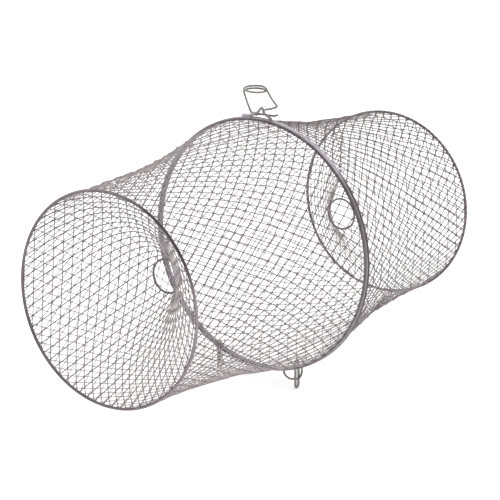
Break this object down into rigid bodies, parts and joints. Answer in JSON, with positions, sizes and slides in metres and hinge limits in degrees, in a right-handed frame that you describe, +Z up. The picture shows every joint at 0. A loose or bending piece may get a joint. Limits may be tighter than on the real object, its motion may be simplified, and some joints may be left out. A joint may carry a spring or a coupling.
{
  "type": "wire fish trap",
  "caption": "Barrel-shaped galvanised wire-mesh trap: two flared shells joined at a hinged, clipped seam, each with a funnel entrance in its outer end.",
  "frame": {"origin": "on the floor, under the middle of the seam between the two shells", "axes": "+X along the trap's axis towards the rear shell, +Z up through the latch"},
  "size_m": [0.409, 0.2298, 0.2646],
  "materials": {
    "wire_cloth": "dull zinc galvanised wire",
    "hoop_wire": "satin zinc galvanised wire",
    "strip": "zinc-coated folded sheet strip",
    "fitting_wire": "satin zinc-plated spring wire"
  },
  "bodies": {
    "front_shell": {"front_body_mesh": "wire_cloth", "front_funnel_mesh": "wire_cloth", "front_mouth_hoop": "hoop_wire", "front_end_hoop": "hoop_wire", "front_throat_ring": "hoop_wire", "front_end_band": "strip", "front_seam_band": "strip", "front_latch_eye": "hoop_wire", "hinge_link_near": "fitting_wire", "hinge_link_far": "fitting_wire"},
    "rear_shell": {"rear_body_mesh": "wire_cloth", "rear_funnel_mesh": "wire_cloth", "rear_mouth_hoop": "hoop_wire", "rear_end_hoop": "hoop_wire", "rear_throat_ring": "hoop_wire", "rear_end_band": "strip", "rear_seam_band": "strip", "rear_hoop_sleeve": "strip", "hinge_loop_near": "fitting_wire", "hinge_loop_far": "fitting_wire", "clip_bracket": "strip"},
    "clip": {"clip_pin_leg": "fitting_wire", "clip_coil": "fitting_wire"},
    "clip_free_leg": {"clip_hook_leg": "fitting_wire"}
  },
  "joints": [
    {"name": "shell_hinge", "type": "hinge", "parent": "front_shell", "child": "rear_shell", "pos_m": [-0.0024, 0, 0.0086], "axis": [0, 1, 0], "range_deg": [0, 165]},
    {"name": "clip_swing", "type": "hinge", "parent": "rear_shell", "child": "clip", "pos_m": [0.0019, 0, 0.2409], "axis": [0, 1, 0], "range_deg": [0, 75]},
    {"name": "clip_flex", "type": "hinge", "parent": "clip", "child": "clip_free_leg", "pos_m": [0.0006, -0.0035, 0.2622], "axis": [-1, 0, 0], "range_deg": [0, 12], "stiffness_Nm_per_rad": 1.2}
  ]
}
